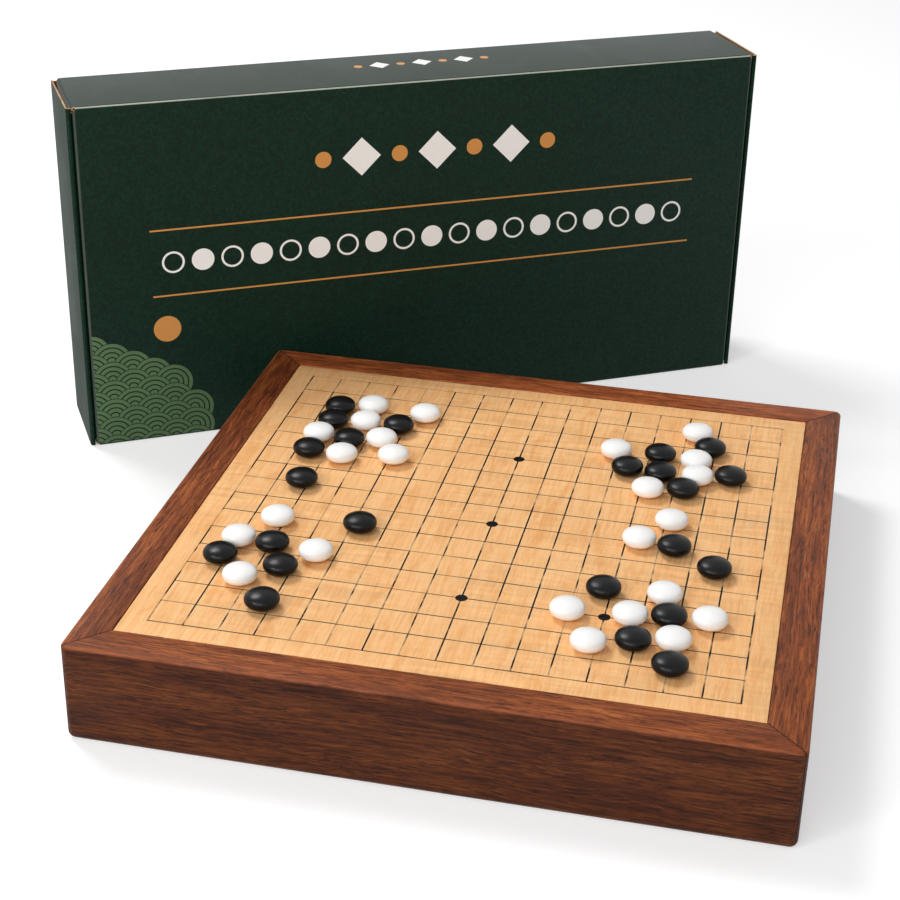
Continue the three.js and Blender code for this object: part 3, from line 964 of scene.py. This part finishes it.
def makePasteboard(name, light, dark, roughness):
    material, tree, shader, where = startMaterial(name, Specular_IOR_Level=0.2)
    card = useGroup(tree, cardGroup, {"Vector": where})
    hand = useGroup(tree, handlingGroup, {"Vector": where, "Scale": 30.0})
    layers = noise(tree, scaled(tree, where, (60, 60, 1400)), 1.0, 3.0, 0.6)
    base = mix(tree, remap(tree, layers, 0.3, 0.7), colour(dark), colour(light))
    base = dim(tree, base, card["Tone"])
    rough = remap(tree, hand["Mottle"], 0.3, 0.7, roughness - 0.05, roughness + 0.05)
    finishMaterial(tree, shader, base, rough, layers, 0.3, 0.2)
    return material


cardPlain = makeCard("cardPlain", None, printValues)
cardFront = makeCard("cardFront", "front", printValues)
cardTop = makeCard("cardTop", "top", printValues)
cardEnd = makeCard("cardEnd", None, printValues, 0.0, 0.08)
cardInside = makePasteboard("cardInside", "#8a6f52", "#6d5540", 0.8)
cardRaw = makePasteboard("cardRaw", "#dcb98f", "#a98058", 0.85)


def thicken(obj, values):
    solid = obj.modifiers.new("card", "SOLIDIFY")
    solid.thickness = values["card"] * mm
    solid.offset = -1
    solid.use_even_offset = True
    solid.material_offset = 1
    solid.material_offset_rim = 2
    makeActive(obj)
    bpy.ops.object.modifier_apply(modifier=solid.name)


def finishCard(obj, values):
    thicken(obj, values)
    obj.location = (cartonCentre.x, cartonCentre.y, 0)
    apply(obj)
    smooth(obj, 30)


def makeSleeve(values):
    width, depth, height, fold = (values[k] for k in ("width", "depth", "height", "fold"))
    steps, hem = values["foldSteps"], values["hem"]
    tube = width / 2 - values["card"] - values["endSpace"] - fold
    obj = newCube("carton_sleeve_finished", (2 * tube, depth, height), (0, 0, height / 2))
    edit(obj)
    pick(obj, "FACE", lambda f: abs(f.normal.x) > 0.9)
    bpy.ops.mesh.delete(type="FACE")
    pick(obj, "EDGE", lambda e: spanOf(e, 0) > 0.1)
    bevel(fold, steps)
    for side in (-1, 1):
        end = side * tube

        def atEnd(edge, axis, level):
            return all(isNear(v.co.x, end * mm) and isNear(v.co[axis], level * mm) for v in edge.verts)

        # the folds over which the dust flaps hang, at the top and at the bottom
        pick(obj, "EDGE", lambda e: atEnd(e, 2, height))
        spinEdge(side * quarterTurn, (end, 0, height - fold), (0, 1, 0), steps)
        pick(obj, "EDGE", lambda e: atEnd(e, 2, 0))
        spinEdge(-side * quarterTurn, (end, 0, fold), (0, 1, 0), steps)
        # the front panel's end edge is turned in
        pick(obj, "EDGE", lambda e: atEnd(e, 1, -depth / 2))
        spinEdge(side * quarterTurn, (end, hem - depth / 2, 0), (0, 0, 1), steps)
        # the back panel runs on and bends forward to the end panel's crease
        pick(obj, "EDGE", lambda e: atEnd(e, 1, depth / 2))
        extrude(side * (width / 2 - fold - tube), 0, 0)
        spinEdge(-side * quarterTurn, (side * (width / 2 - fold), depth / 2 - fold, 0), (0, 0, 1), steps)
    mergeDoubles()
    leave()
    # each outer material is followed by the two that the wall's thickness shows
    for outer in (cardPlain, cardFront, cardTop):
        for material in (outer, cardInside, cardRaw):
            obj.data.materials.append(material)
    edit(obj)
    giveMaterial(obj, 3, lambda f: f.normal.y < -0.99)
    giveMaterial(obj, 6, lambda f: f.normal.z > 0.99)
    leave()
    finishCard(obj, values)
    return obj


def makeClosure(side, sideName, values):
    width, depth, height, fold = (values[k] for k in ("width", "depth", "height", "fold"))
    steps, bead, roll = values["foldSteps"], values["bead"], values["beadFold"]
    creaseY = depth / 2 - fold - values["gap"]
    tuckY = values["card"] + values["tuckClearance"] - depth / 2
    frontY = -values["beadFront"]
    half = height / 2 - values["edgeClearance"]
    length = creaseY - frontY - fold
    # a plane in YZ on the outer face of the end
    bpy.ops.object.select_all(action="DESELECT")
    bpy.ops.mesh.primitive_plane_add(size=1, location=(0, 0, 0))
    obj = bpy.context.object
    obj.name = obj.data.name = f"carton_closure_{sideName}_finished"
    obj.rotation_euler = (0, side * quarterTurn, 0)
    obj.scale = (2 * half * mm, length * mm, 1)
    obj.location = Vector((side * width / 2, creaseY - length / 2, height / 2)) * mm
    apply(obj)
    edit(obj)
    tuckHalf = height / 2 - values["tuckInset"]
    for edge in (-1, 1):
        pick(obj, "FACE", lambda f: True)
        scoreLine((0, 0, height / 2 + edge * tuckHalf), (0, 0, 1))

    def pickUpright(x, y, reach=half):
        def isThere(vert):
            isBeside = (vert.co.xy - Vector((x, y)) * mm).length < 1e-5
            return isBeside and abs(vert.co.z - height / 2 * mm) < (reach + 0.01) * mm
        pick(obj, "EDGE", lambda e: all(isThere(v) for v in e.verts))

    # the front edge rolls round into a bead and back to the tuck flap
    quarter = side * quarterTurn
    bendX = side * (width / 2 - fold)
    returnX = side * (width / 2 - bead)
    ease = roll / 2
    pickUpright(side * width / 2, frontY + fold)
    spinEdge(-quarter, (bendX, frontY + fold, 0), (0, 0, 1), steps)
    pickUpright(bendX, frontY)
    spinEdge(-quarter, (bendX, frontY + roll, 0), (0, 0, 1), steps)
    pickUpright(returnX, frontY + roll)
    extrude(0, tuckY - ease - frontY - roll, 0)
    pickUpright(returnX, tuckY - ease, tuckHalf)
    leadX = returnX - side * ease
    spinEdge(quarter, (leadX, tuckY - ease, 0), (0, 0, 1), steps)
    pickUpright(leadX, tuckY, tuckHalf)
    tip = values["tuckDepth"] - bead - ease
    extrude(-side * tip, 0, 0)
    tipX = leadX - side * tip
    pick(obj, "VERT", lambda v: isNear(v.co.x, tipX * mm))
    bevel(values["tuckCorner"], 8, "VERTICES")
    mergeDoubles()
    leave()
    mesh = obj.data
    plate = max(mesh.polygons, key=lambda p: p.area)
    if plate.normal.x * side < 0:
        mesh.flip_normals()
    for material in (cardEnd, cardInside, cardRaw):
        mesh.materials.append(material)
    finishCard(obj, values)
    return obj


def makeDustFlap(nodeName, side, edge, values):
    low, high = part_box(nodeName)
    middle = (low + high) / 2
    size = (high - low) / mm
    obj = newCube(nodeName + "_finished", size, middle / mm)
    edit(obj)
    freeZ = low.z if edge > 0 else high.z
    pick(obj, "VERT", lambda v: isNear(v.co.z, freeZ))
    taper = 1 - 2 * values["dustTaper"] / size.y
    bpy.ops.transform.resize(value=(1, taper, 1), center_override=(middle.x, middle.y, freeZ))
    pick(obj, "EDGE", lambda e: all(isNear(v.co.z, freeZ) for v in e.verts) and spanOf(e, 0) > 1e-4)
    bevel(values["dustCorner"], 6)
    for material in (cardPlain, cardInside, cardRaw):
        obj.data.materials.append(material)
    giveMaterial(obj, 1, lambda f: f.normal.x * side < -0.9)
    giveMaterial(obj, 2, lambda f: abs(f.normal.x) < 0.1)
    leave()
    smooth(obj, 30)
    return obj


sleeve = makeSleeve(cartonValues)
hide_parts("carton_sleeve")
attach(sleeve, "carton")
for side, sideName in ((-1, "left"), (1, "right")):
    closure = makeClosure(side, sideName, cartonValues)
    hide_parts(f"carton_closure_{sideName}")
    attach(closure, f"closure_{sideName}")
    for edge, edgeName in ((1, "top"), (-1, "bottom")):
        flap = makeDustFlap(f"carton_dust_flap_{edgeName}_{sideName}", side, edge, cartonValues)
        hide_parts(f"carton_dust_flap_{edgeName}_{sideName}")
        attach(flap, f"dust_flap_{edgeName}_{sideName}")
print("carton is made")
